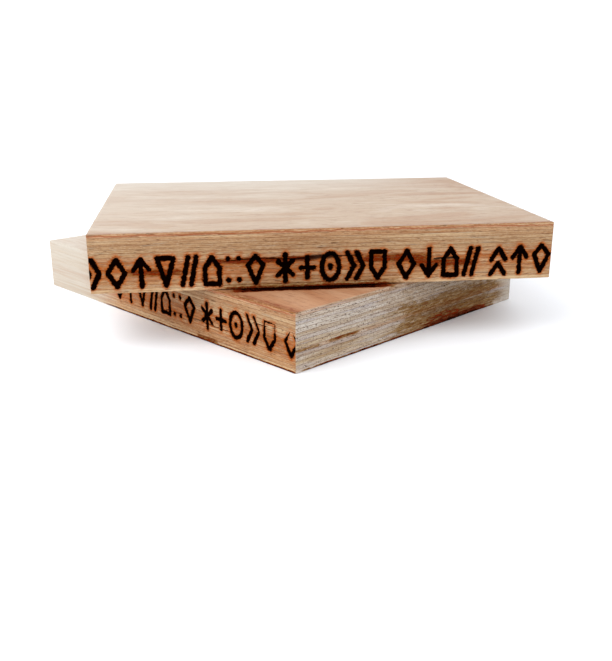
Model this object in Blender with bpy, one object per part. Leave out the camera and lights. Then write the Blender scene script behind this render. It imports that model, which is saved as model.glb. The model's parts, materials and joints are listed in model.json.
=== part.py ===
"""Two short sections of a laminated veneer lumber (LVL) scaffold plank, one lying loosely across the other.

Each section is built the way the plank is made: rotary-peeled veneers, all with their grain along the
plank, with a thin film of dark phenolic glue pressed between each two. The sections are cut from the same
plank, so they share its width, its thickness and its ply layout.

Metres, +Z up. The origin is the centre of the lower section's underside, and +X runs along the upper
section's grain. The upper section lifts straight off the lower one along +Z.
"""

import math

import bmesh
import bpy

# The plank: 1 1/2 in thick and 9 1/4 in wide, which is 15 plies of 1/10 in.
INCH = 0.0254
PLANK_THICKNESS = 1.5 * INCH
PLANK_WIDTH = 9.25 * INCH
PLY_COUNT = 15

# The two sections.
UPPER_LENGTH = 12.0 * INCH
LOWER_LENGTH = 0.295
LOWER_TURN = math.radians(-53.5)
UPPER_CENTRE = (0.023, -0.0127)
REST_GAP = 0.0003

# The bond between two veneers: a film of glue with a clear gap on each of its sides.
GLUE_FILM = 0.0001
FILM_GAP = 0.0001
GLUE_SETBACK = 0.0003

# The eased outer edges of a sawn section.
ARRIS = 0.0004
ARRIS_SEGMENTS = 2

PLY_PITCH = PLANK_THICKNESS / PLY_COUNT
BOND = GLUE_FILM + 2 * FILM_GAP

# Veneer looks as (colour, roughness): sRGB-like tones given as linear values.
VENEER_TONES = {
    "face": ((0.60, 0.45, 0.32), 0.62),
    "reddish": ((0.44, 0.21, 0.10), 0.68),
    "tan": ((0.42, 0.25, 0.14), 0.70),
    "pale": ((0.55, 0.38, 0.24), 0.70),
    "greyish": ((0.38, 0.28, 0.21), 0.72),
}
GLUE_COLOUR = (0.075, 0.030, 0.016)
GLUE_ROUGHNESS = 0.45

# The order in which tones follow each other through the plank, from the bottom veneer to the top one.
PLY_TONES = (
    "pale", "greyish", "tan", "reddish", "greyish", "tan", "reddish", "pale",
    "tan", "greyish", "tan", "pale", "greyish", "reddish", "face",
)


def clear_scene():
    for obj in list(bpy.data.objects):
        bpy.data.objects.remove(obj, do_unlink=True)


def principled(name, colour, roughness):
    """A plain matte material."""
    material = bpy.data.materials.new(name)
    material.use_nodes = True
    shader = material.node_tree.nodes["Principled BSDF"]
    shader.inputs["Base Color"].default_value = (*colour, 1.0)
    shader.inputs["Roughness"].default_value = roughness
    shader.inputs["Metallic"].default_value = 0.0
    return material


def slab_mesh(name, length, width, thickness, eased):
    """A flat slab standing on z = 0 and centred in X and Y.

    eased says which of its two faces have eased edges: "bottom", "top" or None.
    """
    shape = bmesh.new()
    bmesh.ops.create_cube(shape, size=1.0)
    bmesh.ops.scale(shape, vec=(length, width, thickness), verts=shape.verts)
    bmesh.ops.translate(shape, vec=(0, 0, thickness / 2), verts=shape.verts)
    if eased:
        height = thickness if eased == "top" else 0.0
        rim = [
            edge
            for edge in shape.edges
            if all(abs(vert.co.z - height) < thickness / 4 for vert in edge.verts)
        ]
        bmesh.ops.bevel(
            shape, geom=rim, offset=ARRIS, segments=ARRIS_SEGMENTS, profile=0.5, affect="EDGES"
        )
    mesh = bpy.data.meshes.new(name)
    shape.to_mesh(mesh)
    shape.free()
    return mesh


def place(name, mesh, material, parent, height):
    """Puts a mesh in the scene at a height above its section's underside."""
    obj = bpy.data.objects.new(name, mesh)
    bpy.context.collection.objects.link(obj)
    obj.data.materials.append(material)
    obj.parent = parent
    obj.location = (0, 0, height)
    return obj


def section_frame(name, centre, height, turn):
    """The empty that a section hangs from, at the centre of the section's underside."""
    empty = bpy.data.objects.new(name, None)
    bpy.context.collection.objects.link(empty)
    empty.location = (*centre, height)
    empty.rotation_euler = (0, 0, turn)
    return empty


def veneer_name(section, ply):
    if ply == 0:
        return f"{section}_bottom_face_veneer"
    if ply == PLY_COUNT - 1:
        return f"{section}_top_face_veneer"
    return f"{section}_core_veneer_{ply:02d}"


def add_veneer(section, ply, length, frame, materials):
    """One veneer, numbered from the bottom, between the bonds above and below it."""
    lowest, highest = ply == 0, ply == PLY_COUNT - 1
    bottom = ply * PLY_PITCH + (0 if lowest else BOND / 2)
    top = (ply + 1) * PLY_PITCH - (0 if highest else BOND / 2)
    eased = "bottom" if lowest else "top" if highest else None
    name = veneer_name(section, ply)
    mesh = slab_mesh(name, length, PLANK_WIDTH, top - bottom, eased)
    place(name, mesh, materials[PLY_TONES[ply]], frame, bottom)


def add_glue_line(section, line, length, frame, material):
    """The film of glue on top of veneer number line - 1, set back a little from the sawn faces."""
    name = f"{section}_glue_line_{line:02d}"
    mesh = slab_mesh(
        name, length - 2 * GLUE_SETBACK, PLANK_WIDTH - 2 * GLUE_SETBACK, GLUE_FILM, None
    )
    place(name, mesh, material, frame, line * PLY_PITCH - GLUE_FILM / 2)


def add_section(section, length, frame, veneers, glue):
    for ply in range(PLY_COUNT):
        add_veneer(section, ply, length, frame, veneers)
    for line in range(1, PLY_COUNT):
        add_glue_line(section, line, length, frame, glue)


def main():
    clear_scene()
    veneers = {
        tone: principled(f"veneer_{tone}", colour, roughness)
        for tone, (colour, roughness) in VENEER_TONES.items()
    }
    glue = principled("phenolic_glue", GLUE_COLOUR, GLUE_ROUGHNESS)
    lower = section_frame("lower_section_frame", (0, 0), 0, LOWER_TURN)
    upper = section_frame("upper_section_frame", UPPER_CENTRE, PLANK_THICKNESS + REST_GAP, 0)
    add_section("lower", LOWER_LENGTH, lower, veneers, glue)
    add_section("upper", UPPER_LENGTH, upper, veneers, glue)


main()
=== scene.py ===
"""The looks of two sawn sections of a laminated veneer lumber (LVL) scaffold plank, one across the other.

Every veneer is its own piece with its own sawn faces, and the glue films of a section are one piece.
Within a section, lengths are in millimetres in the section's own axes: x along the grain, y across the
plank and away from the marked edge, z up from the section's underside. The frame and the meshes are in
metres.
"""

import json
import math

import bpy
import numpy as np
from mathutils import Matrix, Vector


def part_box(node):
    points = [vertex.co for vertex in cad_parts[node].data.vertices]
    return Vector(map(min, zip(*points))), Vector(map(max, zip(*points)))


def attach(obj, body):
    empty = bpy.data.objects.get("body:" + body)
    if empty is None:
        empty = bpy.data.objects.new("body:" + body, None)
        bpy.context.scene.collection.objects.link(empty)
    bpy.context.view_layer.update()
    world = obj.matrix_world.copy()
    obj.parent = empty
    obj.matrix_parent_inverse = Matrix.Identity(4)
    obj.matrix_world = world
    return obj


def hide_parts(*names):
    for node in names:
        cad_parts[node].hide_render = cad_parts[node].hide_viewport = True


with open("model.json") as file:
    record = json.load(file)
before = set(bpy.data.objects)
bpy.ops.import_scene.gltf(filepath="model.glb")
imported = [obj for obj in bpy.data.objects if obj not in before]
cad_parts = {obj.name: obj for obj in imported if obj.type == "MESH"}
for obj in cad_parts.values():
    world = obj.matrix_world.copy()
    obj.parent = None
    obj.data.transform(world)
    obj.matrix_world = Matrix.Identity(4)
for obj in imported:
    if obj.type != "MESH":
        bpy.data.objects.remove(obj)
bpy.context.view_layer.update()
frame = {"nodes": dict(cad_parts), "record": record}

MM = 0.001
# The material slot of each CAD node, and how many veneers a section has.
SLOTS = {part["node"]: part["material_slot"] for part in frame["record"]["subparts"]}
PLIES = sum(node.startswith("upper") and "veneer" in node for node in SLOTS)

# The mesh of a veneer: the coarse cells of a hidden face along and across the grain, how many parts each
# is split into on a face that shows, and how many more on the sawn faces around it.
HIDDEN_CELLS = (28, 12)
FACE_SPLIT = (7, 13)
FACE_CELLS = (HIDDEN_CELLS[0] * FACE_SPLIT[0], HIDDEN_CELLS[1] * FACE_SPLIT[1])
FRONT_SPLIT, BACK_SPLIT, END_SPLIT = 5, 3, 3
# How far the cells of a top or bottom face stay inside its rim.
CAP_MARGIN = 3.0
# The heights of the rows of points up the sawn faces, as shares of a core veneer and of a face veneer.
CORE_ROWS = (0.0, 0.04, 0.2, 0.4, 0.6, 0.8, 0.96, 1.0)
FACE_ROWS = (0.0, 0.04, 0.3, 0.55, 0.78, 0.88, 0.95, 1.0)
# Edges sharper than this aren't shaded smooth.
SHARP_ANGLE = math.radians(38)

# The kinds of face of a veneer, in the order of its materials.
KIND_EDGE, KIND_END, KIND_FACE, KIND_BOND = 0, 1, 2, 3
# How far each section and each ply is moved, in mm, through the patterns that the plies don't share.
SECTION_SHIFT = 31.0
PLY_SHIFT = np.array([97.3, 61.7, 43.1])

# The bond between two veneers: its height, the height of the film in it, how far the film is set back from
# the sawn faces, how much that varies and how much less it is where the wood is painted pale, both as
# shares, and how far the veneers are eased beside the film.
BOND = 0.12
FILM = 0.10
FILM_SET_BACK = 0.13
FILM_VARIES, FILM_PALE = 0.5, 0.8
VENEER_EASE = 0.06
# A film has a point at every second column of the sawn faces.
FILM_EVERY = 2

# The rounding of the long arrises and of the upright corners, and how much the first varies, as a share.
ARRIS = 0.55
CORNER = 0.6
ARRIS_VARIES = 0.3

# The depth of the burned strokes and of the drying splits.
BURN_DEPTH = 0.9
SPLIT_DEPTH = 1.4

# The depth of the relief: on the ripped long edges, on the cross-cut ends and on the peeled faces.
FIBRE, FINE_FIBRE, TORN_GRAIN, SAW_WAVE = 0.05, 0.03, 0.05, 0.04
PLY_STEP, PORE, BLADE_MARK, SOFT_WOOD = 0.05, 0.14, 0.03, 0.05
GRAIN, FINE_GRAIN, HOLLOW = 0.03, 0.02, 0.08


# ----- Smooth noise -----


def lattice(i, j, seed):
    """A repeatable value from -1 to 1 for each whole-number point."""
    n = (i * 374761393 + j * 668265263 + seed * 974634777) & 0xFFFFFFFF
    n = ((n ^ (n >> 13)) * 1274126177) & 0xFFFFFFFF
    return ((n ^ (n >> 16)) & 0xFFFFFF) / 0x7FFFFF - 1.0


def noise(u, v, cell_u, cell_v, seed):
    """Value noise from -1 to 1 with cells of the given size."""
    a, b = np.broadcast_arrays(np.asarray(u) / cell_u, np.asarray(v) / cell_v)
    i, j = np.floor(a).astype(np.int64), np.floor(b).astype(np.int64)
    s, t = smooth(a - i), smooth(b - j)
    near = lattice(i, j, seed) * (1 - s) + lattice(i + 1, j, seed) * s
    far = lattice(i, j + 1, seed) * (1 - s) + lattice(i + 1, j + 1, seed) * s
    return near * (1 - t) + far * t


def smooth(t):
    """An even rise from 0 to 1 made to start and end gently."""
    return t * t * (3 - 2 * t)


def step(low, high, value):
    """0 below low, 1 above high, and smooth between. low may be above high, which turns it round."""
    return smooth(np.clip((value - low) / (high - low), 0, 1))


def window(low, high, soft, value):
    """1 between low and high, falling to 0 across a soft border."""
    return step(low - soft, low + soft, value) * step(high + soft, high - soft, value)


# ----- Where the sections lie -----


class Section:
    """One sawn section of plank, measured from its CAD veneers."""

    def __init__(self, name, seed):
        self.name = name
        self.seed = seed
        self.body = f"{name}_section"
        self.nodes = frame["record"]["behaviour"]["bodies"][self.body]
        self.veneers = [self.veneer_node(ply) for ply in range(PLIES)]
        vertices = frame["nodes"][self.veneers[1]].data.vertices
        corners = np.unique(np.array([vertex.co[:2] for vertex in vertices]).round(6), axis=0)
        centre = corners.mean(axis=0)
        grain = np.linalg.svd(corners - centre)[2][0]
        grain = grain * np.sign(grain[0])
        across = np.array([-grain[1], grain[0]])
        self.length = np.ptp(corners @ grain) / MM
        self.width = np.ptp(corners @ across) / MM
        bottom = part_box(self.veneers[0])[0].z
        self.thickness = (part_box(self.veneers[-1])[1].z - bottom) / MM
        self.pitch = self.thickness / PLIES
        turn = Matrix.Rotation(math.atan2(grain[1], grain[0]), 4, "Z")
        self.matrix = Matrix.Translation((*centre, bottom)) @ turn

    def veneer_node(self, ply):
        if ply == 0:
            return f"{self.name}_bottom_face_veneer"
        if ply == PLIES - 1:
            return f"{self.name}_top_face_veneer"
        return f"{self.name}_core_veneer_{ply:02d}"


# ----- The burned signs -----


def ring(sides):
    """The corners of a regular figure that stands on a corner, in the unit box."""
    angles = [2 * math.pi * (k / sides - 0.25) for k in range(sides + 1)]
    return [(0.5 + 0.5 * math.cos(a), 0.5 + 0.5 * math.sin(a)) for a in angles]


def turned_over(lines):
    """A figure upside down."""
    return [[(a, 1 - b) for a, b in line] for line in lines]


ARROW = [[(0.5, 0.0), (0.5, 1.0)], [(0.0, 0.6), (0.5, 1.0), (1.0, 0.6)]]
HOUSE = [[(0.0, 0.0), (1.0, 0.0), (1.0, 0.6), (0.5, 1.0), (0.0, 0.6), (0.0, 0.0)]]

# Each sign: its width in mm, and the lines that the branding iron draws, in a box from (0, 0) to (1, 1).
SIGNS = {
    "target": (14.4, [ring(20), [(0.5, 0.47), (0.5, 0.53)]]),
    "funnel": (13.2, [[(0.0, 1.0), (1.0, 1.0), (0.5, 0.0), (0.0, 1.0)]]),
    "diamond": (13.4, [ring(4)]),
    "kite": (12.8, [[(0.5, 0.0), (1.0, 0.66), (0.5, 1.0), (0.0, 0.66), (0.5, 0.0)]]),
    "house": (12.0, HOUSE),
    "cup": (12.0, turned_over(HOUSE)),
    "rise": (12.6, ARROW),
    "fall": (12.6, turned_over(ARROW)),
    "star": (12.6, [[(0.5, 0.0), (0.5, 1.0)], [(0.0, 0.24), (1.0, 0.76)], [(0.0, 0.76), (1.0, 0.24)]]),
    "plus": (11.4, [[(0.5, 0.12), (0.5, 0.88)], [(0.0, 0.5), (1.0, 0.5)]]),
    "dots": (10.6, [[(a, b), (a, b + 0.02)] for a in (0.05, 0.95) for b in (0.1, 0.9)]),
    "slants": (12.0, [[(0.0, 0.0), (0.42, 1.0)], [(0.58, 0.0), (1.0, 1.0)]]),
    "carets": (12.6, [[(0.0, 0.0), (0.5, 0.42), (1.0, 0.0)], [(0.0, 0.56), (0.5, 1.0), (1.0, 0.56)]]),
    "chevrons": (13.6, [[(0.0, 0.0), (0.42, 0.5), (0.0, 1.0)], [(0.58, 0.0), (1.0, 0.5), (0.58, 1.0)]]),
}
# The full row of signs, in groups with wider gaps between them.
SIGN_GROUPS = (
    ("chevrons", "diamond", "rise", "funnel", "slants", "house", "dots", "kite"),
    ("star", "plus", "target", "chevrons", "cup"),
    ("diamond", "fall", "house", "slants"),
    ("carets", "rise", "kite"),
)
# Each sign of the full row, and what is added to the gap after it.
SIGN_GAP, GROUP_GAP = 2.38, 4.2
SIGN_ORDER = [
    (sign, GROUP_GAP if place == len(group) else 0)
    for group in SIGN_GROUPS
    for place, sign in enumerate(group, 1)
]

# The row of signs on each marked edge: where it starts in mm from the edge's left end, which signs of the
# full row it has, how far down the edge their tops and bottoms are, as shares, the width of the strokes in
# mm, and how far the tops of the signs near the edge's right end are worn away.
SIGN_ROWS = {
    "upper": dict(start=-6.0, signs=SIGN_ORDER, top=0.388, bottom=0.925, stroke=2.9, worn=0),
    "lower": dict(start=97.0, signs=SIGN_ORDER[1:14], top=0.265, bottom=0.77, stroke=2.5, worn=1),
}
# How far off the row's height a sign is at most, and a distance that is far from every stroke.
JITTER = 0.6
FAR_AWAY = 1e3
# How far the scorch around a stroke reaches, how much that varies, and the least that it is.
SCORCH_REACH, SCORCH_VARIES, SCORCH_LEAST = 2.1, 1.8, 0.8


def distance_to_line(x, y, start, end):
    """The distance from each point to the straight line between two points."""
    along = np.subtract(end, start)
    share = ((x - start[0]) * along[0] + (y - start[1]) * along[1]) / (along @ along)
    share = np.clip(share, 0, 1)
    return np.hypot(x - start[0] - share * along[0], y - start[1] - share * along[1])


def distance_to_sign(sign, stroke, height, x, y):
    """The distance from the middle of the nearest stroke, with x and y from the sign's lower left."""
    width, lines = SIGNS[sign]
    middle = np.array([stroke, stroke]) / 2
    reach = np.array([width - stroke, height - stroke])
    nearest = np.full(x.shape, FAR_AWAY)
    for line in lines:
        points = middle + reach * np.array(line)
        for start, end in zip(points, points[1:]):
            nearest = np.minimum(nearest, distance_to_line(x, y, start, end))
    return nearest


def sign_places(row):
    """The left side of each sign in a row, and the sign."""
    x = row["start"]
    for sign, more in row["signs"]:
        yield x, sign
        x += SIGNS[sign][0] + SIGN_GAP + more


def burn(section, x, z):
    """How deep the marked edge is burned, how charred it is and how scorched, each from 0 to 1."""
    row, seed = SIGN_ROWS[section.name], section.seed
    low, top = section.thickness * (1 - row["bottom"]), section.thickness * (1 - row["top"])
    edge = np.full(x.shape, FAR_AWAY)
    for left, sign in sign_places(row):
        left = left - section.length / 2
        width = SIGNS[sign][0]
        near = np.abs(x - left - width / 2) < width
        if near.any():
            jitter = JITTER * float(noise(left, 0.0, 3.0, 1.0, seed + 3))
            along, up = x[near] - left, z[near] - low - jitter
            here = distance_to_sign(sign, row["stroke"], top - low, along, up) - row["stroke"] / 2
            edge[near] = np.minimum(edge[near], here)
    # edge is the distance from the outline of the nearest stroke, below 0 inside it, and made ragged here.
    edge = edge + 0.3 * noise(x, z, 1.1, 0.7, seed + 1) + 0.25 * noise(x, z, 4.0, 1.3, seed + 2)
    worn = row["worn"] * step(0.30 * section.length, 0.5 * section.length, x)
    worn = worn * step(top - 0.8 * (top - low), top, z + 2.0 * noise(x, z, 5, 2, seed + 4))
    deep = step(0.25, -0.75, edge) * (1 - worn)
    char = step(0.35, -0.25, edge + 1.2 * worn) * step(1.0, 0.7, worn)
    reach = SCORCH_REACH + SCORCH_VARIES * noise(x, z, 9.0, 2.5, seed + 5)
    reach = np.clip(reach, SCORCH_LEAST, None)
    scorch = np.exp(-np.clip(edge, 0, None) / reach) * (1 - 0.5 * worn)
    return deep, char, scorch


# ----- The relief of the sawn faces, in mm inwards -----


# The splits that show on a long edge, by section and side: where each starts and ends along the edge, how
# far down the edge it is, all as shares, and its width in mm.
SPLITS = {
    ("upper", "front"): (
        (0.27, 0.58, 0.50, 1.2),
        (0.42, 0.53, 0.505, 4.4),
        (0.73, 0.79, 0.60, 2.2),
    ),
    ("upper", "back"): ((0.10, 0.35, 0.44, 0.6), (0.6, 0.92, 0.63, 0.5)),
    ("lower", "front"): ((0.55, 0.8, 0.66, 0.5), (0.86, 0.97, 0.36, 0.4)),
    ("lower", "back"): ((0.2, 0.5, 0.52, 0.6),),
}
# How far a split wanders from a straight line: slowly along the edge, and quickly.
SLOW_WANDER, FAST_WANDER = 0.8, 0.25


def splits(section, side, x, z):
    """How open the drying splits of a long edge are at each point, from 0 to 1."""
    opened = np.zeros(np.broadcast(x, z).shape)
    for start, end, level, width in SPLITS.get((section.name, side), ()):
        first, last = (start - 0.5) * section.length, (end - 0.5) * section.length
        share = np.clip((x - first) / (last - first), 0, 1)
        middle = section.thickness * (1 - level) + SLOW_WANDER * noise(x, 0, 23.0, 1.0, section.seed + 7)
        middle = middle + FAST_WANDER * noise(x, 0, 3.0, 1.0, section.seed + 8)
        taper = np.abs(np.sin(math.pi * share))
        half = width / 2 * taper**0.5 * (0.75 + 0.4 * noise(x, 0, 6.0, 1, section.seed + 9))
        here = step(half + 0.12, half * 0.5 - 0.05, np.abs(z - middle)) * step(0.0, 0.1, taper)
        opened = np.maximum(opened, here)
    return opened


# Where water and dirt have darkened the sawn faces, and where shade is painted on them, by section and
# side:
# the start and end along the face and from its top, as shares, the softness of both in mm, and the
# strength, which is 1 for deep brown and above 1.5 for nearly black.
STAINS_AND_SHADE = {
    ("upper", "front"): (
        # Painted shade: orange-brown on the lowest plies where this section lies over the lower one.
        (0.28, 0.66, 0.905, 1.2, 14, 0.8, 0.42),
        (0.08, 0.19, 0.62, 0.72, 5, 1, 1),
        (0.25, 0.47, 0.47, 0.56, 6, 1, 1.1),
        (0.56, 0.72, 0.49, 0.62, 6, 1.2, 1),
        (0.69, 0.82, 0.6, 0.72, 5, 1, 1),
        # Painted shade: nearly black along the bottom arris above the lower section's top face.
        (0.275, 0.635, 0.965, 1.2, 3, 0.5, 1.2),
    ),
    ("lower", "front"): (
        # Painted shade and chipped wood: a dark line along the bottom arris, where the section stands on
        # the floor.
        (0.28, 1.1, 0.97, 1.2, 10, 0.5, 1.7),
        (0.68, 0.75, 0.92, 1.2, 2, 0.8, 0.85),
        (0.8, 0.97, 0.45, 0.75, 8, 4, 0.25),
    ),
    ("lower", "right"): (
        # These five rows: painted shade on the end's right part under the upper section's overhang, nearly
        # black at the bottom.
        (0.53, 0.84, 0.97, 1.2, 6, 0.8, 2.4),
        (0.53, 0.85, 0.88, 1.2, 7, 2.4, 1.4),
        (0.54, 0.74, 0.74, 1.2, 9, 4, 0.95),
        (0.42, 0.92, 0.38, 1.2, 20, 5, 0.6),
        (0.36, 0.93, -0.2, 1.2, 22, 5, 0.3),
        # Painted shade: a dark line along the bottom arris, where the section stands on the floor.
        (0.05, 0.9, 0.968, 1.2, 8, 0.5, 1.6),
        (-0.1, 0.085, 0.61, 0.66, 2, 0.5, 0.6),
        (0.125, 0.235, 0.59, 0.65, 3, 0.5, 0.7),
    ),
    ("lower", "left"): ((0.1, 0.5, 0.7, 1.2, 25, 8, 0.4),),
    ("upper", "right"): ((0.55, 0.9, 0.75, 1.2, 25, 6, 0.35),),
    ("upper", "back"): ((0.2, 0.45, 0.8, 1.2, 25, 5, 0.35),),
}


def stains_and_shade(section, side, along, length, z):
    """How stained a sawn face is at each point, with painted shade. along is measured from the face's
    middle.
    """
    share, down = along / length + 0.5, section.thickness - z
    ragged = 0.6 * noise(along, z, 17.0, 3.0, section.seed + 90)
    ragged = ragged + 0.4 * noise(along, z, 4.0, 1.0, section.seed + 91)
    total = np.zeros(np.broadcast(along, z).shape)
    for start, end, top, bottom, soft, soft_down, strength in STAINS_AND_SHADE.get((section.name, side), ()):
        here = window(start * length, end * length, soft, share * length + soft * ragged)
        high, low = top * section.thickness, bottom * section.thickness
        here = here * window(high, low, soft_down, down + 0.7 * soft_down * ragged)
        total = np.maximum(total, strength * here)
    return total


def pale_and_highlight(section, points):
    """How pale a section is painted at each point, from 0 to 1, mostly as a painted highlight."""
    x, y, z = points.T
    wander = 12.0 * noise(x, y, 30.0, 12.0, section.seed + 97)
    half_l, half_w = section.length / 2, section.width / 2
    # The lower section's far end is washed out pale, a painted highlight, and one corner is paler.
    if section.name == "lower":
        far_end = step(-0.26 * half_l, -0.72 * half_l, x + wander) * step(0.35 * half_w, -0.5 * half_w, y)
        corner = window(0.9 * half_l, 2 * half_l, 8.0, x) * step(0.8 * half_w, half_w, y + 0.3 * wander)
        return np.maximum(far_end, 0.7 * corner)
    # The upper one's top is lighter towards its back left corner and back edge: a painted highlight.
    top_layer = step(section.thickness - 0.6, section.thickness - 0.1, z)
    far_corner = step(0.9, -0.9, x / half_l - y / half_w + wander / 60)
    far_edge = step(0.3, 1.0, y / half_w) * step(0.85, 0.4, x / half_l)
    return top_layer * (0.55 * far_corner + 0.4 * far_edge)


# Painted shadow on the lower section's top face, a dark band along the line where the upper one's front
# edge
# rests on it: how far it reaches in front of the line and behind it, its start and end from the upper
# section's middle, how soft its front and its ends are, all in mm, its strength, and that of the dust on
# the whole face.
SHADOW_FRONT, SHADOW_BACK = -6.4, 13.0
SHADOW_SPAN = (-58.0, 36.0)
SHADOW_FRONT_SOFT, SHADOW_END_SOFT = 1.8, 12.0
SHADOW_STRENGTH = 2.6
DUST_STRENGTH = 0.12
# The scuffs on a top face beside the marked edge: their strength, and how wide the strip of them is.
RIM_STRENGTH = 0.3
RIM_WIDTH = 9.0
# A point counts as on top of a section if it is this near to the top face's height.
ON_TOP = 1.0


def contact_shadow_and_dust(section, points):
    """Painted shadow on the lower section's top face where the upper section rests on it, and dust on it.
    """
    if section.name == "upper":
        return np.zeros(len(points))
    low, high = (np.array(corner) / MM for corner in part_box("upper_bottom_face_veneer"))
    world = points @ np.array(section.matrix.to_3x3()).T + np.array(section.matrix.translation) / MM
    x, deep = world[:, 0], world[:, 1] - low[1]
    uneven = noise(x, 0, 11.0, 1.0, section.seed + 98)
    uneven = uneven + 0.6 * noise(x, 0, 3.0, 1.0, section.seed + 99)
    patchy = noise(x, deep, 16.0, 7.0, section.seed + 101)
    patchy = patchy + 0.7 * noise(x, deep, 5.0, 3.0, section.seed + 102)
    # The band in front of the line, and under the upper section, is painted shadow.
    in_front = step(SHADOW_FRONT - SHADOW_FRONT_SOFT, SHADOW_FRONT + SHADOW_FRONT_SOFT, deep + uneven)
    behind = step(SHADOW_BACK, 0.0, deep + 5.0 * patchy * step(-1.0, 3.0, deep))
    on_line = window(*SHADOW_SPAN, SHADOW_END_SOFT, x - (low[0] + high[0]) / 2 + 4.0 * uneven)
    on_top = points[:, 2] > section.thickness - ON_TOP
    return on_top * (DUST_STRENGTH + SHADOW_STRENGTH * in_front * behind**1.5 * on_line)


def rim_dirt(section, points):
    """How scuffed a top face is beside the marked edge."""
    on_top = points[:, 2] > section.thickness - ON_TOP
    return RIM_STRENGTH * on_top * step(RIM_WIDTH, 0.5, points[:, 1] + section.width / 2)


def bumps(depth, u, v, cell_u, cell_v, seed):
    """Smooth relief from 0 to twice the depth."""
    return depth * (1 + noise(u, v, cell_u, cell_v, seed))


def edge_relief(section, side, x, z):
    """The ripped long edges: fibres along the grain, torn spots, and a slow waviness from the saw."""
    seed = section.seed + (20 if side == "front" else 30)
    fibres = bumps(FIBRE, x, z, 14.0, 0.55, seed) + bumps(FINE_FIBRE, x, z, 4.0, 0.35, seed + 1)
    torn = TORN_GRAIN * step(0.55, 0.9, noise(x, z, 7.0, 0.6, seed + 2))
    return fibres + torn + bumps(SAW_WAVE, x, z, 31.0, 60.0, seed + 3)


def end_relief(section, side, y, z):
    """The cross-cut ends: plies a hair longer or shorter, open pores, and upright marks of the blade."""
    seed = section.seed + (40 if side == "right" else 50)
    ply = np.floor(z / section.pitch).astype(np.int64)
    steps = PLY_STEP * (1 + lattice(ply, 0, seed))
    pores = PORE * step(0.45, 0.85, noise(y, z, 0.9, 0.5, seed + 1))
    blade = bumps(BLADE_MARK, y, z, 1.3, 45.0, seed + 2)
    return steps + pores + blade + bumps(SOFT_WOOD, y, z, 11.0, 0.8, seed + 3)


def corner_inset(away):
    """How far the faces beside an upright corner are eased, at a distance from it.

    The corner's own point is on both faces, so each moves it part of the way, to the middle of the arc.
    """
    at_corner = away < 1e-6
    rounded = CORNER - np.sqrt(np.clip(CORNER**2 - np.clip(CORNER - away, 0, None) ** 2, 0, None))
    return np.where(at_corner, CORNER * (1 - math.sqrt(0.5)), rounded)


def arris_inset(section, z, along, seed):
    """How far a face is eased near the top and bottom of the whole section."""
    slow, fast = noise(along, 0, 5.0, 1.0, seed), noise(along, 0, 1.1, 1.0, seed + 1)
    radius = ARRIS * (1 + (ARRIS_VARIES * slow + ARRIS_VARIES * fast))
    depth = np.minimum(z, section.thickness - z)
    below = np.clip(radius - depth, 0, radius)
    return radius - np.sqrt(radius**2 - below**2)


# ----- Meshes -----


def mesh_from(name, points, faces):
    """A mesh from points in mm and a list of arrays of faces, each array with one number of corners."""
    mesh = bpy.data.meshes.new(name)
    corners = np.concatenate([group.ravel() for group in faces])
    sizes = np.concatenate([np.full(len(group), group.shape[1]) for group in faces])
    mesh.vertices.add(len(points))
    mesh.vertices.foreach_set("co", (points * MM).astype(np.float32).ravel())
    mesh.loops.add(len(corners))
    mesh.loops.foreach_set("vertex_index", corners.astype(np.int32))
    mesh.polygons.add(len(sizes))
    mesh.polygons.foreach_set("loop_start", (np.cumsum(sizes) - sizes).astype(np.int32))
    mesh.update(calc_edges=True)
    mesh.validate()
    mesh.shade_smooth()
    mesh.set_sharp_from_angle(angle=SHARP_ANGLE)
    return mesh


def add_values(mesh, name, kind, domain, values):
    """Stores one value for each point or face, for a material to read."""
    attribute = mesh.attributes.new(name, kind, domain)
    field = {"FLOAT": "value", "FLOAT_VECTOR": "vector", "FLOAT_COLOR": "color"}[kind]
    attribute.data.foreach_set(field, np.asarray(values, np.float32).ravel())


def side_counts():
    """The columns on the front, right, back and left faces of a veneer."""
    along, across = FACE_CELLS
    return along * FRONT_SPLIT, across * END_SPLIT, along * BACK_SPLIT, across * END_SPLIT


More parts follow.
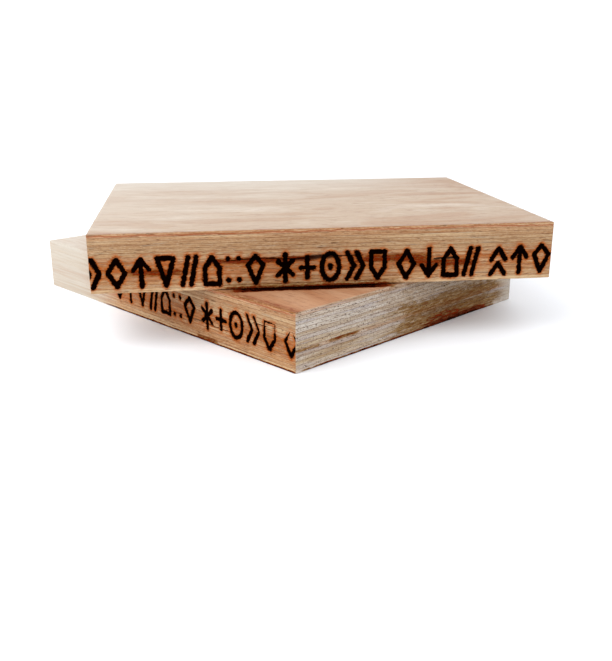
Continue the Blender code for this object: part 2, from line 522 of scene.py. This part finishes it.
def side_rows(section, heights):
    """The points of the sawn faces in closed rows, one for each height, and the values of each point."""
    half_l, half_w = section.length / 2, section.width / 2
    front_n, right_n, back_n, left_n = side_counts()
    z = np.asarray(heights)[:, None]

    def edge_inset(side, x):
        arris = arris_inset(section, z, x, section.seed + 60)
        return edge_relief(section, side, x, z) + arris + corner_inset(half_l - np.abs(x))

    def end_inset(side, y):
        arris = arris_inset(section, z, y, section.seed + 62)
        return end_relief(section, side, y, z) + arris + corner_inset(half_w - np.abs(y))

    front_x = np.linspace(-half_l, half_l, front_n, endpoint=False)[None, :]
    back_x = np.linspace(half_l, -half_l, back_n, endpoint=False)[None, :]
    right_y = np.linspace(-half_w, half_w, right_n, endpoint=False)[None, :]
    left_y = np.linspace(half_w, -half_w, left_n, endpoint=False)[None, :]
    deep, char, scorch = burn(section, *np.broadcast_arrays(front_x, z))
    split_front = splits(section, "front", front_x, z)
    split_back = splits(section, "back", back_x, z)

    # Where the four faces meet, each row's corners follow the insets of both faces.
    left_end = -half_l + end_inset("left", np.array([[-half_w, half_w]]))
    right_end = half_l - end_inset("right", np.array([[-half_w, half_w]]))
    front_end = -half_w + edge_inset("front", np.array([[-half_l, half_l]]))
    back_end = half_w - edge_inset("back", np.array([[-half_l, half_l]]))

    def stretch(values, half, low, high):
        return low + (high - low) * (values + half) / (2 * half)

    front = (
        stretch(front_x, half_l, left_end[:, :1], right_end[:, :1]),
        -half_w + edge_inset("front", front_x) + BURN_DEPTH * deep + SPLIT_DEPTH * split_front,
    )
    right = (
        half_l - end_inset("right", right_y),
        stretch(right_y, half_w, front_end[:, 1:], back_end[:, 1:]),
    )
    back = (
        stretch(back_x, half_l, left_end[:, 1:], right_end[:, 1:]),
        half_w - edge_inset("back", back_x) - SPLIT_DEPTH * split_back,
    )
    left = (
        -half_l + end_inset("left", left_y),
        stretch(left_y, half_w, front_end[:, :1], back_end[:, :1]),
    )
    x, y = (np.concatenate(parts, axis=1) for parts in zip(front, right, back, left))
    points = np.stack([x, y, np.broadcast_to(z, x.shape)], axis=2)
    no_right, no_back, no_left = (np.zeros((len(z), count)) for count in (right_n, back_n, left_n))
    values = {
        "char": (char, no_right, no_back, no_left),
        "scorch": (scorch, no_right, no_back, no_left),
        "split": (split_front, no_right, split_back, no_left),
        "stain_and_shade": (
            stains_and_shade(section, "front", front_x, section.length, z),
            stains_and_shade(section, "right", right_y, section.width, z),
            stains_and_shade(section, "back", back_x, section.length, z),
            stains_and_shade(section, "left", left_y, section.width, z),
        ),
    }
    return points, {name: np.concatenate(parts, axis=1) for name, parts in values.items()}


def cap(section, height, cells, relief):
    """A veneer's top or bottom: its points inside the rim, the cells' faces, and the faces out to the rim.

    Faces turn anticlockwise seen from above. A face out to the rim has one side of a cell and the points of
    the sawn faces beside it. Those come as -1 - column, and the cells' points are numbered from 0.
    """
    along, across = cells
    half_l, half_w = section.length / 2 - CAP_MARGIN, section.width / 2 - CAP_MARGIN
    x, y = np.meshgrid(np.linspace(-half_l, half_l, along + 1), np.linspace(-half_w, half_w, across + 1))
    z = height - (relief(x, y) if relief else 0 * x)
    points = np.stack([x, y, z], axis=2).reshape(-1, 3)
    index = np.arange(len(points)).reshape(across + 1, along + 1)
    quads = np.stack([index[:-1, :-1], index[:-1, 1:], index[1:, 1:], index[1:, :-1]], axis=2)
    loop = np.concatenate([index[0, :-1], index[:-1, -1], index[-1, :0:-1], index[:0:-1, 0]])
    rims, column, corner = [], 0, 0
    total = sum(side_counts())
    for count, cell_count in zip(side_counts(), (along, across, along, across)):
        each = count // cell_count
        cell = np.arange(cell_count)
        outer = -1 - (column + each * cell[:, None] + np.arange(each + 1)) % total
        inner = np.stack([loop[(corner + 1 + cell) % len(loop)], loop[corner + cell]], axis=1)
        rims.append(np.concatenate([outer, inner], axis=1))
        column += count
        corner += cell_count
    return points, quads.reshape(-1, 4), rims


def veneer_mesh(name, section, ply):
    """One veneer as a closed mesh, with the values that its materials read."""
    lowest, highest = ply == 0, ply == PLIES - 1
    bottom = ply * section.pitch + (0 if lowest else BOND / 2)
    top = (ply + 1) * section.pitch - (0 if highest else BOND / 2)
    rows, values = side_rows(section, bottom + (top - bottom) * row_shares(lowest, highest))
    # A veneer's own edges beside the glue are a little eased, so that each bond shows as a fine groove.
    for row, bonded in ((0, not lowest), (-1, not highest)):
        if bonded:
            rows[row, :, :2] *= 1 - 2 * VENEER_EASE / section.width
    side_points = rows.reshape(-1, 3)
    groups, kinds = [side_faces(*rows.shape[:2])], [np.tile(side_kinds(), len(rows) - 1)]
    points, base = [side_points], len(side_points)
    top_row = len(side_points) - rows.shape[1]
    for height, side, seen, first in ((bottom, "bottom", lowest, 0), (top, "top", highest, top_row)):
        relief = face_relief(section, side) if seen else None
        cap_points, quads, rims = cap(section, height, FACE_CELLS if seen else HIDDEN_CELLS, relief)
        for faces in [quads, *rims]:
            placed = np.where(faces < 0, first - 1 - faces, base + faces)
            groups.append(placed if side == "top" else placed[:, ::-1])
            kinds.append(np.full(len(faces), KIND_FACE if seen else KIND_BOND))
        points.append(cap_points)
        base += len(cap_points)
    points, kind = np.concatenate(points), np.concatenate(kinds)
    mesh = mesh_from(name, points, groups)
    mesh.polygons.foreach_set("material_index", kind.astype(np.int32))
    shift = section.seed * SECTION_SHIFT + ply * PLY_SHIFT
    add_values(mesh, "block", "FLOAT_VECTOR", "POINT", points)
    add_values(mesh, "plank", "FLOAT_VECTOR", "POINT", points + shift)
    blank = np.zeros(len(points) - len(side_points))
    values = {key: np.concatenate([value.ravel(), blank]) for key, value in values.items()}
    # Painted contact shadow and dust on the lower section's top face, and scuffs beside the marked edge.
    shade_and_dirt = contact_shadow_and_dust(section, points) + rim_dirt(section, points)
    values["stain_and_shade"] = np.maximum(values["stain_and_shade"], shade_and_dirt)
    values["pale_and_highlight"] = pale_and_highlight(section, points)
    for key, value in values.items():
        add_values(mesh, key, "FLOAT", "POINT", value)
    tones = np.array([(*tone, 1.0) for tone in ply_tones(section, ply)])
    add_values(mesh, "tone", "FLOAT_COLOR", "FACE", tones[kind])
    return mesh


def row_shares(lowest, highest):
    """The heights of the rows of a veneer's sawn faces, as shares of the veneer."""
    if highest:
        return np.array(FACE_ROWS)
    if lowest:
        return 1 - np.array(FACE_ROWS)[::-1]
    return np.array(CORE_ROWS)


def side_faces(rows, columns):
    """The faces between rows of points that close on themselves."""
    column = np.arange(columns)
    after = (column + 1) % columns
    low = columns * np.arange(rows - 1)[:, None]
    high = low + columns
    return np.stack([low + column, low + after, high + after, high + column], axis=2).reshape(-1, 4)


def side_kinds():
    """Whether each column of the sawn faces is on a long edge or on an end."""
    return np.repeat([KIND_EDGE, KIND_END, KIND_EDGE, KIND_END], side_counts())


def face_relief(section, side):
    """The relief of a face veneer into the wood: raised summerwood and shallow hollows."""
    seed = section.seed + (70 if side == "top" else 80)
    inwards = 1 if side == "top" else -1

    def relief(x, y):
        grain = bumps(GRAIN, x, y, 45.0, 3.0, seed) + bumps(FINE_GRAIN, x, y, 12.0, 1.6, seed + 1)
        return inwards * (grain + bumps(HOLLOW, x, y, 90.0, 30.0, seed + 2))

    return relief


# ----- Colours -----


def srgb(red, green, blue):
    """A linear colour from 8-bit sRGB values."""

    def linear(value):
        value = value / 255
        return value / 12.92 if value <= 0.04045 else ((value + 0.055) / 1.055) ** 2.4

    return linear(red), linear(green), linear(blue)


# The tones of the sawn edges and of the sawn ends, from the bottom veneer to the top one.
EDGE_TONES = [
    srgb(*tone) for tone in (
        (198, 162, 123), (176, 132, 92), (172, 126, 85), (176, 128, 87), (168, 112, 67),
        (164, 106, 61), (168, 114, 70), (162, 108, 65), (172, 130, 94), (172, 135, 98),
        (170, 134, 98), (168, 131, 95), (171, 133, 97), (176, 135, 98), (192, 147, 110),
    )
]
END_TONES = [
    srgb(*tone) for tone in (
        (196, 178, 162), (188, 166, 142), (178, 153, 122), (173, 149, 121), (172, 154, 140),
        (172, 141, 114), (178, 154, 125), (175, 154, 129), (173, 156, 142), (176, 157, 136),
        (186, 171, 155), (186, 171, 155), (186, 170, 154), (186, 168, 150), (186, 158, 134),
    )
]
# One wood on both: the upper face's paler, greyer tone is a painted highlight, the lower face's darker tone
# painted shade.
FACE_TONES = {"upper": srgb(176, 156, 135), "lower": srgb(185, 141, 108)}
GLUE_TONE = srgb(104, 64, 40)
CHAR_TONE = (0.0024, 0.0004, 0.0002)
# How each material's colours are balanced against the studio, which is overexposed like the photograph.
BALANCE = {
    "sawn_edge": (0.89, 0.905, 0.90),
    "sawn_end": (0.965, 1.005, 1.045),
    "peeled_face": (0.985, 0.985, 0.985),
}


def ply_tones(section, ply):
    """The tones of a veneer's long edges, ends, faces and bonded faces."""
    return EDGE_TONES[ply], END_TONES[ply], FACE_TONES[section.name], GLUE_TONE


# ----- Materials -----


class Graph:
    """A material's nodes, made by short calls that return sockets."""

    def __init__(self, name):
        self.material = bpy.data.materials.new(name)
        self.material.use_nodes = True
        self.tree = self.material.node_tree
        self.shader = self.tree.nodes["Principled BSDF"]

    def feed(self, socket, value):
        if isinstance(value, bpy.types.NodeSocket):
            self.tree.links.new(value, socket)
        elif value is not None:
            socket.default_value = value

    def values(self, name, output="Fac"):
        """What the mesh stores under a name."""
        node = self.tree.nodes.new("ShaderNodeAttribute")
        node.attribute_name = name
        return node.outputs[output]

    def maths(self, operation, *inputs):
        node = self.tree.nodes.new("ShaderNodeMath")
        node.operation = operation
        for socket, value in zip(node.inputs, inputs):
            self.feed(socket, value)
        return node.outputs[0]

    def times(self, *inputs):
        return self.maths("MULTIPLY", *inputs)

    def noise(self, vector, cells, detail, roughness, distortion=0.0):
        """Noise from 0 to 1, with cells of the given size along x, y and z."""
        scaled = self.tree.nodes.new("ShaderNodeVectorMath")
        scaled.operation = "DIVIDE"
        self.feed(scaled.inputs[0], vector)
        scaled.inputs[1].default_value = cells
        node = self.tree.nodes.new("ShaderNodeTexNoise")
        self.feed(node.inputs["Vector"], scaled.outputs[0])
        node.inputs["Scale"].default_value = 1.0
        node.inputs["Detail"].default_value = detail
        node.inputs["Roughness"].default_value = roughness
        node.inputs["Distortion"].default_value = distortion
        return node.outputs["Fac"]

    def span(self, value, low, high, to_low=0.0, to_high=1.0):
        """value moved from low..high to to_low..to_high, smoothly and held at the ends."""
        node = self.tree.nodes.new("ShaderNodeMapRange")
        node.interpolation_type = "SMOOTHSTEP"
        for socket, number in zip(node.inputs, (value, low, high, to_low, to_high)):
            self.feed(socket, number)
        return node.outputs[0]

    def lay(self, base, pattern, low, high, strength, colour, blend="MIX"):
        """A colour laid over another where a pattern passes from low to high."""
        return self.mix(self.span(pattern, low, high, 0.0, strength), base, colour, blend)

    def tint(self, base, mask, strength, colour, blend="MIX"):
        """A colour laid over another where a mask is 1, and less where it is less."""
        return self.mix(self.times(mask, strength), base, colour, blend)

    def height_share(self, vector, full):
        """How high a point is in a section, as a share of the full height."""
        node = self.tree.nodes.new("ShaderNodeSeparateXYZ")
        self.feed(node.inputs[0], vector)
        return self.maths("DIVIDE", node.outputs[2], full)

    def mix(self, share, first, second, blend="MIX"):
        node = self.tree.nodes.new("ShaderNodeMix")
        node.data_type = "RGBA"
        node.blend_type = blend
        self.feed(node.inputs[0], share)
        for socket, colour in ((node.inputs[6], first), (node.inputs[7], second)):
            self.feed(socket, (*colour, 1.0) if isinstance(colour, tuple) else colour)
        return node.outputs[2]

    def bump(self, height, depth_mm):
        node = self.tree.nodes.new("ShaderNodeBump")
        node.inputs["Distance"].default_value = depth_mm * MM
        self.feed(node.inputs["Height"], height)
        return node.outputs[0]

    def finish_wood(self, colour, roughness, normal, shine):
        colour = self.mix(1.0, colour, BALANCE[self.material.name], "MULTIPLY")
        return self.finish(colour, roughness, normal, shine)

    def finish(self, colour, roughness, normal, shine):
        """Feeds the shader. shine is its specular level."""
        self.feed(self.shader.inputs["Base Color"], colour)
        self.feed(self.shader.inputs["Roughness"], roughness)
        self.feed(self.shader.inputs["Normal"], normal)
        self.feed(self.shader.inputs["Specular IOR Level"], shine)
        return self.material


def seams(graph, block, thickness):
    """How strongly the glue stains the wood beside each bond, from 0 to 1, uneven along the bond.

    The second value is for a wavy reddish band in the top veneer, just above the uppermost bond.
    """
    place = graph.times(graph.height_share(block, thickness), PLIES)
    off = graph.maths("ABSOLUTE", graph.maths("SUBTRACT", place, graph.maths("ROUND", place)))
    uneven = graph.noise(block, (14, 14, 1.6), 3, 0.6)
    wavy = graph.times(graph.maths("SUBTRACT", graph.noise(block, (16, 16, 40), 5, 0.72), 0.5), 1.5)
    above = graph.maths("ABSOLUTE", graph.maths("SUBTRACT", graph.maths("ADD", place, wavy), PLIES - 0.6))
    every = graph.times(graph.span(off, 0.16, 0.02), graph.span(uneven, 0.38, 0.62, 0.0, 0.8))
    top = graph.times(graph.span(above, 0.34, 0.05), graph.span(uneven, 0.30, 0.55, 0.35, 1.0))
    return every, top


def stained_and_shaded(graph, colour, ragged):
    """Water stains, dirt and painted shade: olive-brown, then deep brown with rusty flecks, and at last
    nearly black.
    """
    stain_and_shade = graph.times(graph.values("stain_and_shade"), graph.span(ragged, 0.35, 0.65, 0.55, 1.2))
    colour = graph.lay(colour, stain_and_shade, 0.0, 0.55, 0.92, (0.50, 0.33, 0.13), "MULTIPLY")
    colour = graph.lay(colour, stain_and_shade, 0.50, 0.95, 0.95, srgb(92, 24, 4))
    flecks = graph.times(graph.span(stain_and_shade, 0.75, 1.05), graph.span(ragged, 0.54, 0.6))
    colour = graph.tint(colour, flecks, 0.6, srgb(146, 48, 10))
    return graph.lay(colour, stain_and_shade, 1.2, 1.7, 0.97, CHAR_TONE)


def paled_and_highlit(graph, colour, grain):
    """A painted highlight, and paler wood: a pale warm grey, with the grain still faintly there."""
    share = graph.times(graph.values("pale_and_highlight"), graph.span(grain, 0.3, 0.7, 0.86, 0.95))
    pale = graph.mix(graph.span(grain, 0.34, 0.64), srgb(182, 169, 155), srgb(190, 182, 171))
    return graph.mix(share, colour, pale)


def edge_material(thickness):
    """The ripped long edges: streaks along the grain, dark dashes, scorched and charred signs."""
    graph = Graph("sawn_edge")
    plank, block = graph.values("plank", "Vector"), graph.values("block", "Vector")
    tone = graph.values("tone", "Color")
    slow = graph.noise(plank, (90, 30, 3.2), 3, 0.55)
    colour = graph.lay(tone, slow, 0.50, 0.70, 0.60, srgb(200, 172, 136))
    colour = graph.lay(colour, slow, 0.48, 0.28, 0.62, srgb(146, 92, 52))
    streaks = graph.noise(plank, (20, 3, 0.62), 5, 0.66)
    colour = graph.lay(colour, streaks, 0.49, 0.30, 0.80, (0.50, 0.34, 0.23), "MULTIPLY")
    colour = graph.lay(colour, streaks, 0.54, 0.74, 0.40, srgb(214, 186, 150))
    fuzz = graph.noise(plank, (2.4, 1, 0.7), 3, 0.65)
    colour = graph.lay(colour, fuzz, 0.50, 0.34, 0.40, (0.62, 0.48, 0.36), "MULTIPLY")
    colour = graph.lay(colour, fuzz, 0.52, 0.70, 0.30, srgb(208, 184, 156))
    grey = graph.noise(plank, (22, 4, 1.2), 3, 0.6)
    colour = graph.lay(colour, grey, 0.57, 0.70, 0.45, srgb(150, 138, 122))
    # Ochre patches along the middle of the plank's edge.
    patch = graph.noise(block, (26, 60, 3.2), 4, 0.68)
    level = graph.height_share(block, thickness)
    middle = graph.times(graph.span(level, 0.10, 0.34), graph.span(level, 0.60, 0.46))
    ochre = graph.times(graph.span(patch, 0.45, 0.60), middle)
    colour = graph.tint(colour, ochre, 0.60, srgb(158, 80, 30))
    dashes = graph.noise(plank, (6, 1, 0.5), 2, 0.5)
    dark = graph.times(graph.span(dashes, 0.62, 0.70), graph.span(graph.values("pale_and_highlight"), 0.9, 0.1))
    colour = graph.tint(colour, dark, 0.85, srgb(80, 40, 18))
    every_seam, top_seam = seams(graph, block, thickness)
    colour = graph.tint(colour, every_seam, 0.45, srgb(118, 72, 40))
    colour = graph.tint(colour, top_seam, 0.85, srgb(148, 78, 44))
    ragged = graph.noise(block, (2.0, 1.0, 0.6), 3, 0.6)
    # Heat: rusty streaks along the grain near the strokes, then orange-brown, a dark brown, and black.
    scorch = graph.values("scorch")
    rust = graph.noise(block, (11, 3, 1.1), 4, 0.65)
    rusty = graph.times(graph.span(scorch, 0.05, 0.45), graph.span(rust, 0.49, 0.62))
    colour = graph.tint(colour, rusty, 0.55, srgb(148, 70, 20))
    singed = graph.times(scorch, graph.span(ragged, 0.25, 0.65, 0.75, 1.12))
    colour = graph.lay(colour, singed, 0.40, 0.78, 0.80, srgb(164, 82, 28))
    colour = graph.lay(colour, singed, 0.74, 0.97, 0.95, srgb(58, 18, 3))
    colour = stained_and_shaded(graph, colour, ragged)
    colour = paled_and_highlit(graph, colour, slow)
    # Painted shade: nearly black inside the open splits.
    colour = graph.tint(colour, graph.values("split"), 0.95, srgb(34, 12, 5))
    charred = graph.span(graph.values("char"), 0.3, 0.6)
    colour = graph.mix(charred, colour, CHAR_TONE)
    rough = graph.span(charred, 0.0, 1.0, 0.72, 0.9)
    height = graph.maths("SUBTRACT", graph.maths("ADD", streaks, fuzz), graph.times(dark, 0.6))
    height = graph.maths("ADD", height, graph.times(graph.times(ragged, charred), 1.5))
    dull = graph.maths("ADD", graph.maths("ADD", graph.values("stain_and_shade"), scorch), charred)
    shine = graph.span(dull, 0.0, 1.0, 0.16, 0.0)
    return graph.finish_wood(colour, rough, graph.bump(height, 0.12), shine)


def end_material(thickness):
    """The cross-cut ends: growth rings nearly level with the ply, open pores, and marks of the blade."""
    graph = Graph("sawn_end")
    plank, block = graph.values("plank", "Vector"), graph.values("block", "Vector")
    tone = graph.values("tone", "Color")
    slow = graph.noise(plank, (9, 45, 2.6), 3, 0.55)
    colour = graph.lay(tone, slow, 0.50, 0.66, 0.45, srgb(206, 194, 182))
    colour = graph.lay(colour, slow, 0.48, 0.32, 0.50, srgb(152, 116, 76))
    rings = graph.noise(plank, (6, 9, 0.8), 4, 0.68, 0.2)
    colour = graph.lay(colour, rings, 0.49, 0.32, 0.54, (0.52, 0.40, 0.31), "MULTIPLY")
    colour = graph.lay(colour, rings, 0.55, 0.72, 0.34, srgb(222, 212, 200))
    fuzz = graph.noise(plank, (3, 2.6, 0.7), 3, 0.65)
    colour = graph.lay(colour, fuzz, 0.50, 0.34, 0.40, (0.64, 0.54, 0.44), "MULTIPLY")
    grey = graph.noise(plank, (20, 60, 1.9), 2, 0.5)
    colour = graph.lay(colour, grey, 0.55, 0.68, 0.60, srgb(164, 154, 154))
    pores = graph.noise(plank, (1.0, 1.5, 0.6), 2, 0.6)
    holes = graph.span(pores, 0.585, 0.66)
    colour = graph.tint(colour, holes, 0.85, srgb(66, 44, 30))
    every_seam, top_seam = seams(graph, block, thickness)
    colour = graph.tint(colour, every_seam, 0.42, srgb(112, 82, 58))
    colour = graph.tint(colour, top_seam, 0.35, srgb(142, 96, 66))
    blade = graph.noise(block, (5, 0.9, 30), 3, 0.6)
    colour = graph.lay(colour, blade, 0.56, 0.36, 0.22, (0.6, 0.55, 0.5), "MULTIPLY")
    ragged = graph.noise(block, (2.0, 6.0, 0.9), 3, 0.6)
    colour = paled_and_highlit(graph, stained_and_shaded(graph, colour, ragged), rings)
    height = graph.maths("ADD", graph.maths("SUBTRACT", rings, holes), graph.times(blade, 0.4))
    rough = graph.span(slow, 0.3, 0.7, 0.86, 0.76)
    shine = graph.span(graph.values("stain_and_shade"), 0.0, 0.8, 0.12, 0.0)
    return graph.finish_wood(colour, rough, graph.bump(height, 0.14), shine)


def face_material():
    """The peeled faces: broad cloudy figure, fine fibres along the grain, a few dark checks and scuffs."""
    graph = Graph("peeled_face")
    plank, tone = graph.values("plank", "Vector"), graph.values("tone", "Color")
    clouds = graph.noise(plank, (100, 30, 50), 3, 0.6, 0.5)
    colour = graph.lay(tone, clouds, 0.42, 0.70, 1.0, (0.82, 0.66, 0.54), "MULTIPLY")
    colour = graph.lay(colour, clouds, 0.48, 0.24, 1.0, (1.23, 1.36, 1.55), "MULTIPLY")
    rings = graph.maths("FRACT", graph.times(clouds, 9.0))
    figure = graph.times(graph.span(rings, 0.0, 0.8), graph.span(rings, 1.0, 0.86))
    colour = graph.tint(colour, figure, 0.11, (0.80, 0.66, 0.56), "MULTIPLY")
    streaks = graph.noise(plank, (36, 3.0, 3.0), 4, 0.62)
    colour = graph.lay(colour, streaks, 0.50, 0.30, 0.22, (0.70, 0.52, 0.40), "MULTIPLY")
    fine = graph.noise(plank, (10, 0.9, 0.9), 4, 0.62)
    colour = graph.lay(colour, fine, 0.50, 0.34, 0.24, (0.66, 0.50, 0.40), "MULTIPLY")
    checks = graph.noise(plank, (9, 0.9, 1.0), 2, 0.5)
    dark = graph.span(checks, 0.59, 0.67)
    colour = graph.tint(colour, dark, 0.50, srgb(112, 62, 36))
    ragged = graph.noise(plank, (3.5, 0.9, 0.9), 3, 0.65)
    # Scuffs where a face is only a little stained, which is beside the marked edge.
    stain_and_shade = graph.values("stain_and_shade")
    scuffed = graph.times(graph.span(stain_and_shade, 0.12, 0.25), graph.span(stain_and_shade, 0.6, 0.4))
    specks = graph.span(graph.noise(plank, (8, 1.8, 3), 3, 0.7), 0.52, 0.58)
    scuffs = graph.times(specks, scuffed)
    colour = graph.tint(colour, scuffs, 0.9, srgb(146, 78, 46))
    colour = paled_and_highlit(graph, stained_and_shaded(graph, colour, ragged), streaks)
    height = graph.maths("SUBTRACT", streaks, graph.times(dark, 0.8))
    rough = graph.span(figure, 0.0, 1.0, 0.58, 0.50)
    shine = graph.span(stain_and_shade, 0.4, 1.0, 0.5, 0.0)
    return graph.finish_wood(colour, rough, graph.bump(height, 0.08), shine)


def glue_material():
    """Cured phenolic resin: dark, a little glassy, with wood dust in it, and charred inside the signs."""
    graph = Graph("phenolic_resin")
    dust = graph.noise(graph.values("block", "Vector"), (2.5, 2.5, 2.5), 3, 0.6)
    colour = graph.mix(graph.span(dust, 0.4, 0.7), GLUE_TONE, srgb(140, 98, 66))
    colour = paled_and_highlit(graph, colour, dust)
    charred = graph.span(graph.values("char"), 0.1, 0.4)
    colour = graph.mix(charred, colour, CHAR_TONE)
    rough = graph.span(dust, 0.3, 0.7, 0.42, 0.7)
    shine = graph.span(charred, 0.0, 1.0, 0.25, 0.0)
    return graph.finish(colour, rough, graph.bump(dust, 0.05), shine)


def floor_material():
    graph = Graph("studio_floor")
    place = graph.tree.nodes.new("ShaderNodeTexCoord").outputs["Object"]
    cloud = graph.noise(place, (1.2, 1.2, 1.2), 2, 0.5)
    colour = graph.mix(graph.span(cloud, 0.3, 0.7), (0.875, 0.895, 0.935), (0.89, 0.91, 0.95))
    return graph.finish(colour, 0.6, None, 0.25)


# ----- Pieces -----


def add_piece(name, mesh, section, replaced, materials):
    """Puts a mesh in the scene in place of some CAD nodes of a section."""
    piece = bpy.data.objects.new(name, mesh)
    bpy.context.scene.collection.objects.link(piece)
    for material in materials:
        mesh.materials.append(material)
    piece.matrix_world = section.matrix
    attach(piece, section.body)
    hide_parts(*replaced)


def add_veneers(section, materials):
    for ply, node in enumerate(section.veneers):
        name = f"{node}.sawn"
        add_piece(name, veneer_mesh(name, section, ply), section, [node], materials)


def add_glue(section, material):
    """The films of glue of a section, each a closed slab that follows the sawn faces from just inside."""
    levels = section.pitch * np.arange(1, PLIES)
    rows, values = side_rows(section, levels)
    rows, char = rows[:, ::FILM_EVERY], values["char"][:, ::FILM_EVERY]
    column = np.arange(rows.shape[1])
    uneven = FILM_VARIES * noise(column, levels[:, None], 9.0, 1.0, section.seed + 95)
    paled = FILM_PALE * pale_and_highlight(section, rows.reshape(-1, 3)).reshape(uneven.shape)
    set_back = FILM_SET_BACK * (1 + uneven) * (1 - paled)
    rows[:, :, :2] *= (1 - 2 * set_back / section.width)[:, :, None]
    half_film = np.array([0, 0, FILM / 2])
    points, sides, caps = [], [], []
    for index, row in enumerate(rows):
        base = 2 * len(column) * index
        points += [row - half_film, row + half_film]
        sides.append(base + side_faces(2, len(column)))
        caps.append(base + np.stack([column[::-1], len(column) + column]))
    points = np.concatenate(points)
    name = f"{section.name}_glue_lines.film"
    mesh = mesh_from(name, points, [np.concatenate(sides), np.concatenate(caps)])
    add_values(mesh, "block", "FLOAT_VECTOR", "POINT", points)
    add_values(mesh, "char", "FLOAT", "POINT", np.repeat(char, 2, axis=0))
    add_values(mesh, "pale_and_highlight", "FLOAT", "POINT", pale_and_highlight(section, points))
    films = [node for node in section.nodes if "glue_line" in node]
    add_piece(name, mesh, section, films, [material])


# ----- The studio -----

CAMERA_AT = Vector((-0.0645, -0.6347, 0.1741))
CAMERA_HEADING = math.radians(8.16)
CAMERA_DOWN = math.radians(18.03)
CAMERA_LENS = 43.92
SENSOR = 36.0
NEAREST_SEEN = 0.01
# The sky, the floor's half width in metres, and the colour of both panels.
SKY_COLOUR = (0.99, 0.995, 1.0, 1.0)
SKY_STRENGTH = 1.26
FLOOR_HALF = 90.0
PANEL_COLOUR = (1.0, 0.99, 0.97)


def add_camera():
    data = bpy.data.cameras.new("camera")
    data.lens = CAMERA_LENS
    data.sensor_width = SENSOR
    data.clip_start = NEAREST_SEEN
    camera = bpy.data.objects.new("camera", data)
    bpy.context.scene.collection.objects.link(camera)
    camera.location = CAMERA_AT
    camera.rotation_euler = (math.pi / 2 - CAMERA_DOWN, 0, -CAMERA_HEADING)
    bpy.context.scene.camera = camera


def add_panel(name, at, aim, size, power):
    """A soft light panel at a point, aimed at another."""
    data = bpy.data.lights.new(name, "AREA")
    data.shape = "RECTANGLE"
    data.size, data.size_y = size
    data.energy = power
    data.color = PANEL_COLOUR
    panel = bpy.data.objects.new(name, data)
    bpy.context.scene.collection.objects.link(panel)
    panel.location = at
    panel.rotation_euler = (Vector(aim) - Vector(at)).to_track_quat("-Z", "Y").to_euler()


def add_studio():
    world = bpy.data.worlds.new("studio")
    bpy.context.scene.world = world
    world.use_nodes = True
    background = world.node_tree.nodes["Background"]
    background.inputs["Color"].default_value = SKY_COLOUR
    background.inputs["Strength"].default_value = SKY_STRENGTH
    mesh = bpy.data.meshes.new("floor")
    corners = [(x * FLOOR_HALF, y * FLOOR_HALF, 0) for x, y in ((-1, -1), (1, -1), (1, 1), (-1, 1))]
    mesh.from_pydata(corners, [], [(0, 1, 2, 3)])
    floor = bpy.data.objects.new("floor", mesh)
    bpy.context.scene.collection.objects.link(floor)
    mesh.materials.append(floor_material())
    add_panel("key", at=(-0.75, -0.45, 0.85), aim=(-0.05, -0.05, 0.0), size=(1.1, 1.1), power=8)
    add_panel("side", at=(-0.60, 0.12, 0.20), aim=(-0.20, 0.04, 0.02), size=(0.3, 0.25), power=0.7)


def main():
    bpy.context.scene.view_settings.view_transform = "Standard"
    upper = Section("upper", 11)
    lower = Section("lower", 37)
    resin = glue_material()
    wood = [edge_material(upper.thickness), end_material(upper.thickness), face_material(), resin]
    for section in (upper, lower):
        add_veneers(section, wood)
        add_glue(section, resin)
    add_camera()
    add_studio()


main()
